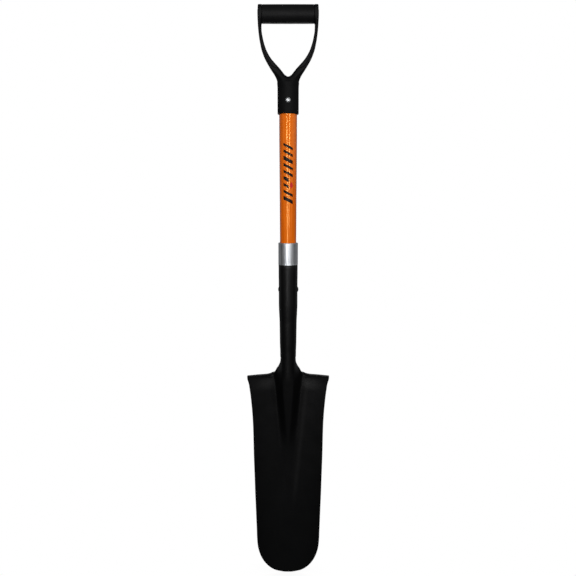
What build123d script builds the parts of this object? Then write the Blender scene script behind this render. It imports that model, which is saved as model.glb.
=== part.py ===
from build123d import *
import math
import os

# D-handled drain spade for narrow trenches and post holes.
# Millimetres. +Z runs up the shaft, -Y is the front (the dished face of the blade), +X is the
# user's right. The origin is on the shaft axis, level with the cutting tip.

os.makedirs("parts", exist_ok=True)

OVERALL = 1042.0            # cutting tip to the top of the grip

# ---------------------------------------------------------------- blade and socket dimensions
SHEET = 1.9                 # one pressed sheet, 14 gauge
STEP_Z = 390.6              # top of the turned foot steps
STEP_FLANGE = 13.0          # how far the step runs back from the face
STEP_BEND = 5.0             # outer radius of the step's bend
STEP_IN, STEP_HALF = 29.5, 76.2    # the steps run between these distances from the centre
STEP_EXTRA = 0.25           # the step is thicker than the sheet by this, in front and behind
STEP_LEG = 3.5              # straight leg below the step's bend
STEP_OVERRUN = 1.0          # degrees swept past each end before the step is trimmed
DISH_BACK = 9.0             # centre line of the dish behind the shaft axis, at the steps
DISH_LIFT = 17.0            # how far the tip comes forward of that
DISH_R_TIP = 168.0          # radius of the dish across the blade, at the tip
DISH_R_STEP = 213.0         # and at the steps
RIB_Z0, RIB_Z1 = 158.0, 398.0   # where the rib dies into the dish, and where it meets the socket
RIB_HEIGHT = 23.45          # full height of the rib
RIB_HALF = 24.0             # full half width at the foot of its flanks
RIB_SLOPE = 1.333           # rise of a flank over its run
RIB_CREST = 29.0            # the crest falls away as x * x / RIB_CREST
MERGE_Z, MERGE_RISE = 372, 30   # the rib turns into the socket tube over this height
HUG_Z, HUG_RISE = 397, 26   # the sheet wraps further round the tube over this height
HUG_LOW, HUG_GAIN = 0.80, 0.185    # share of the tube's radius wrapped, and its increase
LAP = 0.3                   # the sheet is this much proud, both sides, where it merges with the tube
LAP_Z, LAP_RISE = 400.0, 20.0      # the lap grows over this height
SLOPE_STEP = 0.8            # spacing of the samples that give the sheet's slope
LEAN_LIMIT = 3.0            # cap on how far a steep wall is thickened front to back
SHEET_TOP = STEP_Z - STEP_BEND - 1.0    # top of the flat sheet under the steps
NECK_TOP = 433.0            # top of the pressed sheet inside the socket
SOCKET_SEAM = 1.6           # gap of the seam down the back
PRISM_DEPTH = 140           # front to back depth of the tool that trims the sheet

# socket: (height, outside radius)
SOCKET_R = [(637, 16.55), (600.5, 16.55), (599.5, 17.2), (582, 17.15), (572, 17.0), (526, 16.95),
            (517, 16.6), (508, 16.2), (498, 15.65), (480, 15.4), (461, 15.2), (452, 15.05),
            (442, 14.6), (432, 14.5), (427, 14.45)]
# blade: (height, half width)
BLADE_W = [(1.6, 14.5), (4.7, 24.2), (9.6, 32.2), (14.4, 37.6), (19.2, 41.8), (26.1, 46.7),
           (32.9, 50.3), (39.5, 53.0), (46, 55.1), (52.4, 56.7), (58.7, 57.8), (71, 58.9),
           (95.2, 59.7), (119.3, 60.5), (143.3, 61.3), (167.3, 62.2), (191, 62.8), (214.7, 63.5),
           (238.3, 64.2), (261.8, 64.6), (285.1, 65.0), (308.4, 65.8), (331.7, 67.3), (355, 69.5),
           (366.6, 70.9), (376.5, 72.5), (383.8, 74.3), (STEP_Z, STEP_HALF)]
# flare between the steps and the socket: (height, half width)
FLARE_W = [(391.0, 32.5), (393.2, 30.6), (395.9, 28.7), (399.4, 26.2), (403.2, 23.6), (407.1, 21.0),
           (410.9, 18.6), (415.0, 16.7), (419.0, 15.5), (424, 15.0)]
# right half of the V where the tube opens down the back: (x, z)
SOCKET_VEE = [(SOCKET_SEAM / 2, 520), (11, 436), (18, 420)]
# where the blade's lower edge is split, as fractions of its length
EDGE_SPLITS = [0, 0.14, 0.28, 0.38, 0.44, 0.5, 0.56, 0.62, 0.72, 0.86, 1]
# sample places for the lofted sheet: x on the right half, and heights
HALF_X = [0, 1.8, 3.6, 5.4, 7.2, 9, 10.8, 12.6, 14.4, 16.2, 18, 20, 22.5, 25.5, 29, 34, 41, 50,
          60, 71, 84]
SECTION_X = [-x for x in reversed(HALF_X[1:])] + HALF_X
SECTION_Z = [-6, 20, 50, 80, 110, 132, 148, 158, 168, 180, 194, 208, 224, 240, 256, 272, 288, 304,
             320, 336, 350, 362, 374, 387, 400, 411, 420, 428, 436]

# ---------------------------------------------------------------- collar, shaft and decal dimensions
COLLAR_Z0, COLLAR_Z1 = 600.8, 640.5
COLLAR_R = 17.45
COLLAR_WALL = 0.8
COLLAR_CLEARANCE = 0.25     # around the shaft

SHAFT_Z0, SHAFT_Z1 = 516.0, 915.0
SHAFT_R_LOW, SHAFT_R_TOP = 14.42, 15.4
TAPER_Z0, TAPER_Z1 = 643.0, 826.0
SHAFT_BORE = 11.0           # radius
CORE_R = 10.95
LOWER_CORE_Z = (516.5, 700.0)
UPPER_CORE_Z = (842.0, 914.5)

DECAL_Z0, DECAL_Z1 = 700.0, 817.0
DECAL_HALF_ANGLE = 62.0
DECAL_T = 0.12
DECAL_GAP = 0.02            # between shaft and decal

# ---------------------------------------------------------------- D handle dimensions
HANDLE_Z0 = 862.5           # bottom of the handle's socket
HANDLE_R = 18.35
HANDLE_CHAMFER = 1.8        # at the bottom rim
HANDLE_BORE_R = 15.45
HANDLE_BORE_TOP = 915.5
CROTCH_Z = 923.6
BAR_R = 15.2
BAR_Z = OVERALL - BAR_R
BAR_HALF = 51.0
CHEEK = 7.0                 # thickness of the discs at the ends of the grip
CHEEK_PROUD = 0.25          # cheek radius over the grip's
CHEEK_FILLET = 2.0
CHEEK_IN = BAR_HALF - CHEEK
BAR_CORE_R = 10.6
GRIP_HALF = CHEEK_IN - 0.1
GRIP_FILLET = 0.6
YOKE_WIDTH, YOKE_DEPTH = 130, 44    # extrusions that are crossed to make the arms
ARM_FILLETS = (3.0, 1.8)    # preferred radius, then the fallback
# outer and inner edges of the right arm: (x, z)
ARM_OUT = [(18.5, 911), (19.9, 919.0), (21.7, 924.0), (24.1, 929.2), (26.9, 934.3), (30.0, 939.3),
           (33.2, 944.3), (36.2, 949.2), (39.0, 954.2), (41.4, 959.2), (43.4, 964.2), (45.1, 969),
           (46.5, 973.9), (47.5, 978.8), (48.4, 983.6), (49.1, 988.5), (49.7, 993.3),
           (50.2, 998.2), (50.6, 1003), (50.9, 1008), (51.0, 1015)]
ARM_IN = [(0, CROTCH_Z), (5.3, 926.3), (9.6, 931.4), (13.5, 936.4), (18.2, 941.6), (23.0, 946.8),
          (27.6, 952.1), (31.3, 957.3), (34.3, 962.4), (36.8, 967.4), (38.7, 972.4), (40.4, 977.5),
          (41.8, 982.5), (42.9, 987.6), (43.9, 992.7), (44.8, 997.8), (45.3, 1002.8), (45.5, 1010)]
# arms seen from the side: (height, half depth front to back)
ARM_DEPTH = [(905, 18.6), (915, 18.0), (926, 16.0), (940, 13.2), (955, 11.6), (970, 11.0),
             (985, 11.2), (1000, 12.6), (1010, 14.2), (1018, 15.2)]
# round envelope that turns the foot of the yoke into its socket: (radius, z)
YOKE_FOOT = [(18.2, 890), (18.2, 909), (18.7, 914), (20.0, 920), (22.3, 925), (25.8, 930),
             (30.5, 935), (37, 940), (46, 947), (60, 955), (82, 965), (110, 980)]
ENVELOPE_TOP = 1060

# ---------------------------------------------------------------- rivet dimensions
RIVET_CLEARANCE = 0.1       # radial, in the holes
CUT_REACH = 30              # rivet cuts run this far from the shaft axis
SOCKET_RIVET_Z = 555.5
SOCKET_RIVET_R = 2.9
HANDLE_RIVET_Z = 884.4
HANDLE_RIVET_R = 2.4
HANDLE_RIVET_HEAD = 4.3     # radius of the front head
HANDLE_RIVET_TAIL = 3.7     # radius of the back head
HEAD_RIM = 0.6              # straight rim under the front head's dome
WASHER_ROOM = 1.0           # between the back recess and the back head
WASHER_R = 5.0
SPOT_Y = HANDLE_R - 0.55    # floor of the flat recess around each end of the handle rivet


# ---------------------------------------------------------------- helpers
def save(shape, name):
    shape.label = name
    export_step(shape, f"parts/{name}.step")


def largest(shape):
    """The biggest solid, where a boolean has left loose pieces."""
    solids = shape.solids()
    return max(solids, key=lambda s: s.volume) if len(solids) > 1 else shape


def lerp(table, z):
    """Value at z from a table of (z, value) in either order."""
    rows = sorted(table)
    for (z0, v0), (z1, v1) in zip(rows, rows[1:]):
        if z <= z1:
            return v0 + (v1 - v0) * (z - z0) / (z1 - z0)


def clamp(t):
    return max(0.0, min(1.0, t))


def smoothstep(t):
    t = clamp(t)
    return t * t * (3 - 2 * t)


def rounding(a, b, width):
    """How far to round off the corner where a and b cross."""
    near = max(width - abs(a - b), 0.0) / width
    return near * near * width / 4


def swapped(table):
    """(height, value) rows as (value, height) points."""
    return [(value, z) for z, value in table]


def mirrored(points):
    return [(-x, z) for x, z in reversed(points)]


def front_view(points):
    return [Vector(x, 0, z) for x, z in points]


def side_view(points):
    return [Vector(0, y, z) for y, z in points]


def face_of(curves):
    return Face(Wire([edge for curve in curves for edge in curve.edges()]))


def polygon(points):
    return Face(Wire.make_polygon(front_view(points), close=True))


def revolved(points, angle=360.0):
    """Solid of revolution about Z from (r, z) points."""
    return Solid.revolve(polygon(points), angle, Axis.Z)


def rod(start, end, radius):
    """Cylinder between two points."""
    a, b = Vector(*start), Vector(*end)
    return Solid.make_cylinder(radius, (b - a).length, Plane(origin=a, z_dir=(b - a)))


def along_x(x0, x1, z, radius):
    return rod((x0, 0, z), (x1, 0, z), radius)


def along_y(y0, y1, z, radius):
    return rod((0, y0, z), (0, y1, z), radius)


def edges_at(solid, x_end):
    """Edges centred at x_end, on either side."""
    return [edge for edge in solid.edges() if abs(abs(edge.center().X) - x_end) < 0.01]


def socket_rivet_hole():
    return along_x(-CUT_REACH, CUT_REACH, SOCKET_RIVET_Z, SOCKET_RIVET_R + RIVET_CLEARANCE)


def handle_rivet_hole():
    return along_y(-CUT_REACH, CUT_REACH, HANDLE_RIVET_Z, HANDLE_RIVET_R + RIVET_CLEARANCE)


# ---------------------------------------------------------------- surfaces of the sheet, as y(x, z)
def dish_radius(z):
    return DISH_R_TIP + (DISH_R_STEP - DISH_R_TIP) * clamp(z / STEP_Z)


def dish_back(z):
    return DISH_BACK - DISH_LIFT * (1 - clamp(z / STEP_Z)) ** 1.2


def dish(x, z):
    r = dish_radius(z)
    return dish_back(z) - (r - math.sqrt(r * r - x * x))


def lap(z):
    """How far the sheet stands proud of the tube's wall where it laps over its lower end."""
    return LAP * clamp((z - LAP_Z) / LAP_RISE)


def rib_scale(z):
    """1 where the socket meets the blade, 0 where the rib dies into the dish."""
    return clamp((z - RIB_Z0) / (RIB_Z1 - RIB_Z0)) ** 0.85


def rib(x, z):
    """Front of the rib: a rounded crest with straight flanks, which becomes the tube higher up."""
    scale = max(rib_scale(z), 0.02)
    x = abs(x)
    height = RIB_HEIGHT * scale ** 1.22
    flank = (x - (RIB_HALF * scale - height / RIB_SLOPE)) * RIB_SLOPE
    crest = x * x / RIB_CREST
    low = (dish_back(z) - height + max(crest, flank)
           + rounding(crest, flank, 3.2 * scale + 0.6))
    # the tube's front, carried on along its tangent beyond the wrapped part
    r = SOCKET_R[-1][1] + lap(z)
    wrap_x = r * (HUG_LOW + HUG_GAIN * smoothstep((z - HUG_Z) / HUG_RISE))
    wrap_y = math.sqrt(r * r - wrap_x * wrap_x)
    if x < wrap_x:
        ahead = math.sqrt(r * r - x * x)
    else:
        ahead = wrap_y - wrap_x / wrap_y * (x - wrap_x)
    merge = smoothstep((z - MERGE_Z) / MERGE_RISE)
    return low * (1 - merge) + (dish_back(z) - DISH_BACK - ahead) * merge


def front(x, z):
    on_rib, on_dish = rib(x, z), dish(x, z)
    return min(on_rib, on_dish) - rounding(on_rib, on_dish, 9.0 * rib_scale(z) + 1.0)


def back(x, z):
    """Front face moved back by the sheet's thickness, allowing for its slope."""
    step = SLOPE_STEP
    slope_x = (front(x + step, z) - front(x - step, z)) / (2 * step)
    slope_z = (front(x, z + step) - front(x, z - step)) / (2 * step)
    lean = math.sqrt(1 + slope_x * slope_x + slope_z * slope_z)
    limited = lean / (1 + (lean / LEAN_LIMIT) ** 6) ** (1 / 6)
    return front(x, z) + (SHEET + 2 * lap(z)) * limited


# ---------------------------------------------------------------- blade and socket
def section(z):
    """Closed outline of the sheet at height z."""
    ahead = [Vector(x, front(x, z), z) for x in SECTION_X]
    behind = [Vector(x, back(x, z), z) for x in reversed(SECTION_X)]
    half = SECTION_X[-1]
    spacing = [(x + half) / (2 * half) for x in SECTION_X]
    return Wire([Edge.make_spline(ahead, parameters=spacing),
                 Edge.make_line(ahead[-1], behind[0]),
                 Edge.make_spline(behind, parameters=[1 - k for k in reversed(spacing)]),
                 Edge.make_line(behind[-1], ahead[0])])


def blade_outline():
    """Front view of the sheet, from the tip to inside the socket."""
    side_top = (lerp(BLADE_W, SHEET_TOP), SHEET_TOP)
    right = swapped([row for row in BLADE_W if row[0] <= STEP_Z - STEP_BEND]) + [side_top]
    flare = swapped(FLARE_W)
    shoulder = [side_top, (flare[0][0], SHEET_TOP), flare[0]]
    neck = [flare[-1], (flare[-1][0], NECK_TOP)]
    lower = Spline(*front_view(mirrored(right) + [(0, 0)] + right))
    lower = [lower.trim(u, v) for u, v in zip(EDGE_SPLITS, EDGE_SPLITS[1:])]
    upper = [Polyline(*front_view(shoulder)),
             Spline(*front_view(flare)),
             Polyline(*front_view(neck + mirrored(neck))),
             Spline(*front_view(mirrored(flare))),
             Polyline(*front_view(mirrored(shoulder)))]
    return face_of(lower + upper)


def pressed_sheet():
    prism = Solid.extrude(blade_outline(), Vector(0, PRISM_DEPTH, 0))
    prism = prism.moved(Location((0, -PRISM_DEPTH / 2, 0)))
    sheet = Solid.make_loft([section(z) for z in SECTION_Z])
    return largest(sheet & prism)


def foot_steps():
    """The turned ledges, right then left, bent back and following the dish."""
    radius = dish_radius(STEP_Z)
    centre_y = dish_back(STEP_Z - STEP_BEND) - radius
    face_r = radius - STEP_EXTRA
    rear_r = radius + SHEET + STEP_EXTRA
    rim_r = radius + STEP_FLANGE
    bend_z = STEP_Z - STEP_BEND
    under_z = STEP_Z - SHEET - STEP_EXTRA
    with BuildSketch(Plane.XZ) as sketch:
        with BuildLine():
            leg = Line((face_r, bend_z - STEP_LEG), (face_r, bend_z))
            outer = RadiusArc(leg @ 1, (face_r + STEP_BEND, STEP_Z), STEP_BEND)
            ledge = Polyline(outer @ 1, (rim_r, STEP_Z), (rim_r, under_z),
                             (radius + STEP_BEND + STEP_EXTRA, under_z))
            inner = RadiusArc(ledge @ 1, (rear_r, bend_z), -(STEP_BEND - SHEET - STEP_EXTRA))
            Polyline(inner @ 1, (rear_r, bend_z - STEP_LEG), leg @ 0)
        make_face()
    # angles of the step's ends, either side of +Y
    angle_in = math.degrees(math.asin(STEP_IN / rim_r))
    angle_out = math.degrees(math.asin(STEP_HALF / radius))
    sweep = angle_out - angle_in + 2 * STEP_OVERRUN
    ring = Solid.revolve(sketch.sketch.faces()[0], sweep, Axis.Z)
    steps = []
    for start, x_left in ((90 - angle_out, STEP_IN), (90 + angle_in, -STEP_HALF)):
        keep = Solid.make_box(STEP_HALF - STEP_IN, 80, 60).moved(
            Location((x_left, -40, STEP_Z - 50)))
        turn = Location((0, centre_y, 0)) * Rotation(0, 0, start - STEP_OVERRUN)
        steps.append(ring.moved(turn) & keep)
    return steps


def socket_tube():
    """Rolled tube, split down the back and opening in a V at its lower end."""
    outer = swapped(SOCKET_R)
    inner = [(r - SHEET, z) for r, z in reversed(outer)]
    tube = revolved(outer + inner)
    seam = Solid.make_box(SOCKET_SEAM, 40, 300).moved(Location((-SOCKET_SEAM / 2, 0, 400)))
    vee = Solid.extrude(polygon(SOCKET_VEE + mirrored(SOCKET_VEE)), Vector(0, 40, 0))
    return (tube - seam) - vee


def blade_and_socket():
    blade = pressed_sheet()
    for step in foot_steps():
        blade = blade + step
    blade = blade + socket_tube()
    return largest(blade - socket_rivet_hole())


# ---------------------------------------------------------------- collar and shaft
def socket_collar():
    """Thin sleeve over the socket mouth, turned in to the shaft at its top."""
    bore = SHAFT_R_LOW + COLLAR_CLEARANCE
    wall, r, top = COLLAR_WALL, COLLAR_R, COLLAR_Z1
    return revolved([(r, COLLAR_Z0), (r, top - 1.4), (r - 0.5, top - 0.4), (r - 1.4, top),
                     (bore, top), (bore, top - wall), (r - 1.6, top - wall),
                     (r - wall, top - 1.8), (r - wall, COLLAR_Z0)])


def shaft_tube():
    shaft = revolved([(SHAFT_R_LOW, SHAFT_Z0), (SHAFT_R_LOW, TAPER_Z0), (SHAFT_R_TOP, TAPER_Z1),
                      (SHAFT_R_TOP, SHAFT_Z1), (SHAFT_BORE, SHAFT_Z1), (SHAFT_BORE, SHAFT_Z0)])
    return (shaft - socket_rivet_hole()) - handle_rivet_hole()


def core_dowel(z_range, hole):
    z0, z1 = z_range
    return Solid.make_cylinder(CORE_R, z1 - z0, Plane(origin=(0, 0, z0))) - hole


def shaft_decal():
    """Printed transfer round the front of the shaft, following its taper."""
    def inside(z):
        taper = clamp((z - TAPER_Z0) / (TAPER_Z1 - TAPER_Z0))
        return SHAFT_R_LOW + (SHAFT_R_TOP - SHAFT_R_LOW) * taper + DECAL_GAP

    low, high = inside(DECAL_Z0), inside(DECAL_Z1)
    band = revolved([(low, DECAL_Z0), (low + DECAL_T, DECAL_Z0),
                     (high + DECAL_T, DECAL_Z1), (high, DECAL_Z1)], 2 * DECAL_HALF_ANGLE)
    return band.moved(Rotation(0, 0, -90 - DECAL_HALF_ANGLE))


# ---------------------------------------------------------------- D handle
def yoke_arms():
    # front view
    foot = [(14, 900), ARM_OUT[0]]
    arm_top = [ARM_OUT[-1], (BAR_HALF, BAR_Z), (CHEEK_IN, BAR_Z), ARM_IN[-1]]
    face = face_of([Polyline(*front_view(mirrored(foot) + foot)),
                    Spline(*front_view(ARM_OUT)),
                    Polyline(*front_view(arm_top)),
                    Spline(*front_view(mirrored(ARM_IN)[:-1] + ARM_IN)),
                    Polyline(*front_view(mirrored(arm_top))),
                    Spline(*front_view(mirrored(ARM_OUT)))])
    plate = Solid.extrude(face, Vector(0, YOKE_DEPTH, 0)).moved(Location((0, -YOKE_DEPTH / 2, 0)))
    # side view
    depth = swapped(ARM_DEPTH)
    top = [depth[-1], (depth[-1][0], BAR_Z + 1)]
    bottom = [(depth[0][0], 899), depth[0]]
    face = face_of([Spline(*side_view(depth)),
                    Polyline(*side_view(top + mirrored(top))),
                    Spline(*side_view(mirrored(depth))),
                    Polyline(*side_view(mirrored(bottom) + bottom))])
    prism = Solid.extrude(face, Vector(YOKE_WIDTH, 0, 0)).moved(Location((-YOKE_WIDTH / 2, 0, 0)))
    arms = (plate & prism).solids()[0]
    long_edges = [edge for edge in arms.edges() if edge.length > 60]
    for radius in ARM_FILLETS:
        # the kernel may refuse a fillet this large; the arms stay square if both radii fail
        try:
            arms = arms.fillet(radius, long_edges)
            break
        except Exception:
            continue
    edge_r, edge_z = YOKE_FOOT[-1]
    rest = [(edge_r, edge_z), (edge_r, ENVELOPE_TOP), (0, ENVELOPE_TOP),
            (0, YOKE_FOOT[0][1]), YOKE_FOOT[0]]
    envelope = Solid.revolve(face_of([Spline(*front_view(YOKE_FOOT)),
                                      Polyline(*front_view(rest))]), 360, Axis.Z)
    return (arms & envelope).solids()[0]


def d_handle_yoke():
    r, chamfer = HANDLE_R, HANDLE_CHAMFER
    handle = yoke_arms() + revolved([(0, HANDLE_Z0), (r - chamfer, HANDLE_Z0),
                                     (r, HANDLE_Z0 + chamfer), (r, 908), (r - 1.5, 916),
                                     (r - 7, 922), (0, 924)])
    for side in (1, -1):
        cheek = along_x(side * CHEEK_IN, side * BAR_HALF, BAR_Z, BAR_R + CHEEK_PROUD)
        handle = handle + cheek.fillet(CHEEK_FILLET, edges_at(cheek, BAR_HALF))
    # bar through the grip, then the bore for the shaft
    handle = handle + along_x(-(BAR_HALF - 1), BAR_HALF - 1, BAR_Z, BAR_CORE_R)
    bore_z = HANDLE_Z0 - 5
    handle = handle - Solid.make_cylinder(HANDLE_BORE_R, HANDLE_BORE_TOP - bore_z,
                                          Plane(origin=(0, 0, bore_z)))
    handle = handle - handle_rivet_hole()
    # flat recesses under the rivet's front head and its washer
    handle = handle - along_y(-SPOT_Y, -CUT_REACH, HANDLE_RIVET_Z, HANDLE_RIVET_HEAD + 0.3)
    handle = handle - along_y(SPOT_Y, CUT_REACH, HANDLE_RIVET_Z, WASHER_R + 0.3)
    return largest(handle)


def grip_sleeve():
    grip = along_x(-GRIP_HALF, GRIP_HALF, BAR_Z, BAR_R)
    grip = grip.fillet(GRIP_FILLET, edges_at(grip, GRIP_HALF))
    return grip - along_x(-60, 60, BAR_Z, BAR_CORE_R + 0.05)


# ---------------------------------------------------------------- rivets
def dome(base, direction, radius, height):
    """Spherical cap standing on base, pointing along direction."""
    sphere_r = (radius * radius + height * height) / (2 * height)
    mid_z = height / 2
    mid_r = math.sqrt(sphere_r ** 2 - (sphere_r - mid_z) ** 2)
    centre, rim, top = front_view([(0, 0), (radius, 0), (0, height)])
    wire = Wire([Edge.make_line(centre, rim),
                 Edge.make_three_point_arc(rim, Vector(mid_r, 0, mid_z), top),
                 Edge.make_line(top, centre)])
    cap = Solid.revolve(Face(wire), 360, Axis.Z)
    return cap.moved(Plane(origin=base, z_dir=direction).location)


def handle_rivet():
    z = HANDLE_RIVET_Z
    head_y = -SPOT_Y - HEAD_RIM
    tail_y = SPOT_Y + WASHER_ROOM
    dome_y = SPOT_Y + 1.3
    rivet = along_y(-SPOT_Y - 0.2, tail_y, z, HANDLE_RIVET_R)
    rivet = rivet + along_y(head_y, -SPOT_Y, z, HANDLE_RIVET_HEAD)
    rivet = rivet + dome((0, head_y, z), (0, -1, 0), HANDLE_RIVET_HEAD, 1.5)
    rivet = rivet + along_y(tail_y, dome_y, z, HANDLE_RIVET_TAIL)
    return rivet + dome((0, dome_y, z), (0, 1, 0), HANDLE_RIVET_TAIL, 0.8)


def handle_rivet_washer():
    gap = 0.02
    washer = along_y(SPOT_Y + gap, SPOT_Y + WASHER_ROOM - gap, HANDLE_RIVET_Z, WASHER_R)
    return washer - along_y(0, CUT_REACH, HANDLE_RIVET_Z, HANDLE_RIVET_R + 0.08)


def socket_rivet():
    z = SOCKET_RIVET_Z
    seat = lerp(SOCKET_R, z) + 0.02
    rivet = along_x(-seat, seat, z, SOCKET_RIVET_R)
    rivet = rivet + dome((seat, 0, z), (1, 0, 0), 4.6, 1.7)
    return rivet + dome((-seat, 0, z), (-1, 0, 0), 4.0, 1.1)


save(blade_and_socket(), "blade_and_socket")
save(socket_collar(), "socket_collar")
save(shaft_tube(), "shaft_tube")
save(core_dowel(LOWER_CORE_Z, socket_rivet_hole()), "lower_core_dowel")
save(core_dowel(UPPER_CORE_Z, handle_rivet_hole()), "upper_core_dowel")
save(shaft_decal(), "shaft_decal")
save(d_handle_yoke(), "d_handle_yoke")
save(grip_sleeve(), "grip_sleeve")
save(handle_rivet(), "handle_rivet")
save(handle_rivet_washer(), "handle_rivet_washer")
save(socket_rivet(), "socket_rivet")
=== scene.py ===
"""A D-handled digging spade, standing upright on the tip of its blade.

X runs across the blade, -Y is the front and +Z is up. The shaft lies on the Z axis and the
blade's tip is at z = 0. Shapes are worked out in millimetres and make_mesh turns them into
metres; materials and studio are in metres.
"""

import math

import bpy
import numpy as np
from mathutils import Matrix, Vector
from mathutils.geometry import delaunay_2d_cdt


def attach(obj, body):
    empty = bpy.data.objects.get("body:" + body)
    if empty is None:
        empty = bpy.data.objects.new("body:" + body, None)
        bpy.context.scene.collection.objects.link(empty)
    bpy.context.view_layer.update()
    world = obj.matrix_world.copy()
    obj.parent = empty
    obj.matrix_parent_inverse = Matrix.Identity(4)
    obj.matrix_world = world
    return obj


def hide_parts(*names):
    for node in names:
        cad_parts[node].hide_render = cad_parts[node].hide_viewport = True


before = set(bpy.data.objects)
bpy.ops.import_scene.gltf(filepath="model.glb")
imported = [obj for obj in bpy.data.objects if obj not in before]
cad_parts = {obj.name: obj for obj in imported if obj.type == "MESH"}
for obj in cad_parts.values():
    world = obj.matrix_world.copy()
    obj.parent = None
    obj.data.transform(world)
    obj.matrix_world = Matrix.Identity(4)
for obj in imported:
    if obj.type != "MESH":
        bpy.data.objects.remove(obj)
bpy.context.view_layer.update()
MM = 0.001

# ------------------------------------------------------------------ blade and socket sizes
SHEET = 1.9  # thickness
RIM = 0.42  # how far a rounded sheet edge stands out
STEP_Z = 390.6  # top of the steps
BEND = 5.0  # radius of the turn from blade to step
CORNER_Z = STEP_Z - BEND
FLANGE = 13.0  # depth of the steps
RIB_Z0, RIB_Z1 = 158.0, 398.0  # the rib's tip and its full size
RIB_HEIGHT, RIB_HALF = 25.0, 24.3
GRID_Z = 395.3  # where the triangulated sheet gives way to a regular grid
TUBE_Z = 424.0  # where the sheet starts to close into a tube
TUBE_TOP = 637
TUBE_R, SHOULDER_R, NECK_R = 14.45, 17.2, 16.55
ROW_HALF = 44  # grid cells from the middle of a row to its edge

# (z, outer radius) of the socket
SOCKET_R = [(427, TUBE_R), (432, 14.5), (442, 14.6), (452, 15.05), (461, 15.2), (480, 15.4),
            (498, 15.65), (508, 16.2), (517, 16.6), (526, 16.95), (572, 17.0), (582, 17.15),
            (599.5, SHOULDER_R), (600.5, NECK_R), (637, NECK_R)]
# (z, half width) of the gap down the back of the socket
SEAM_GAP = [(424, 14.43), (430, 13.2), (436, 11.0 + RIM), (520, 0.8 + RIM)]
# (z, half width) of the blade, from above the tip to the steps
BLADE_W = [(4.7, 24.2), (9.6, 32.2), (14.4, 37.6), (19.2, 41.8), (26.1, 46.7), (32.9, 50.3),
           (39.5, 53.0), (46, 55.1), (52.4, 56.7), (58.7, 57.8), (71, 58.9), (95.2, 59.7),
           (119.3, 60.5), (143.3, 61.3), (167.3, 62.2), (191, 62.8), (214.7, 63.5),
           (238.3, 64.2), (261.8, 64.6), (285.1, 65.0), (308.4, 65.8), (331.7, 67.3),
           (355, 69.5), (366.6, 70.9), (378.3, 72.7), (383.8, 74.3), (390.6, 76.2)]
# (z, half width) of the flare from the steps up into the socket
FLARE_W = [(395.9, 28.7), (399.4, 26.2), (403.2, 23.6), (407.1, 21.0), (410.9, 18.6),
           (415.0, 16.7), (419.0, 15.35), (424, 14.55)]

# ------------------------------------------------------------------ handle sizes
# (x, z) along the outer and the inner edge of the right arm
ARM_OUT = [(18.5, 911), (19.9, 919.0), (21.7, 924.0), (24.1, 929.2), (26.9, 934.3),
           (30.0, 939.3), (33.2, 944.3), (36.2, 949.2), (39.0, 954.2), (41.4, 959.2),
           (43.4, 964.2), (45.1, 969), (46.5, 973.9), (47.5, 978.8), (48.4, 983.6),
           (49.1, 988.5), (49.7, 993.3), (50.2, 998.2), (50.6, 1003), (50.9, 1008),
           (51.0, 1015)]
ARM_IN = [(0, 923.6), (5.3, 926.3), (9.6, 931.4), (13.5, 936.4), (18.2, 941.6), (23.0, 946.8),
          (27.6, 952.1), (31.3, 957.3), (34.3, 962.4), (36.8, 967.4), (38.7, 972.4),
          (40.4, 977.5), (41.8, 982.5), (42.9, 987.6), (43.9, 992.7), (44.8, 997.8),
          (45.3, 1002.8), (45.5, 1010)]
# (z, half depth) of the arms
ARM_DEPTH = [(895, 18.6), (905, 18.6), (915, 18.0), (926, 16.0), (940, 13.2), (955, 11.6),
             (970, 11.0), (985, 11.2), (1000, 12.6), (1010, 14.2), (1018, 15.2), (1045, 15.2)]
# (z, radius) of the round limit that blends the arms into the handle socket
FOOT = [(850, 14.2), (900, 14.4), (908, 16.6), (913.5, 18.5), (920, 20.3), (925, 22.8),
        (930, 26.3), (935, 31.0), (940, 37.5), (947, 46), (955, 60), (965, 82), (990, 140),
        (1050, 200)]
ARM_ROUND = 1.7
HANDLE_Z0, HANDLE_Z1 = 862.5, 915.0
HANDLE_R, BORE_R = 18.35, 15.5
BAR_Z, BAR_R, BAR_HALF = 1026.8, 15.2, 51.0
CHEEK = 7.0  # width of the round cheeks at the bar's ends
HANDLE_RIVET_Z, SOCKET_RIVET_Z = 884.4, 555.5
# (low, high) corners of the box sampled for the yoke, and the cell size
YOKE_BOX = (-52.3, -20.3, 861.1), (52.3, 20.3, 1043.6)
YOKE_CELL = 0.75


# ------------------------------------------------------------------ curves
def unit(vectors):
    return vectors / np.maximum(np.linalg.norm(vectors, axis=-1, keepdims=True), 1e-12)


def arc_length(points):
    return np.concatenate([[0], np.cumsum(np.linalg.norm(np.diff(points, axis=0), axis=1))])


def resample(points, step=None, count=None):
    s = arc_length(points)
    t = np.linspace(0, s[-1], count or max(2, int(round(s[-1] / step)) + 1))
    return np.stack([np.interp(t, s, column) for column in points.T], axis=1)


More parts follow.
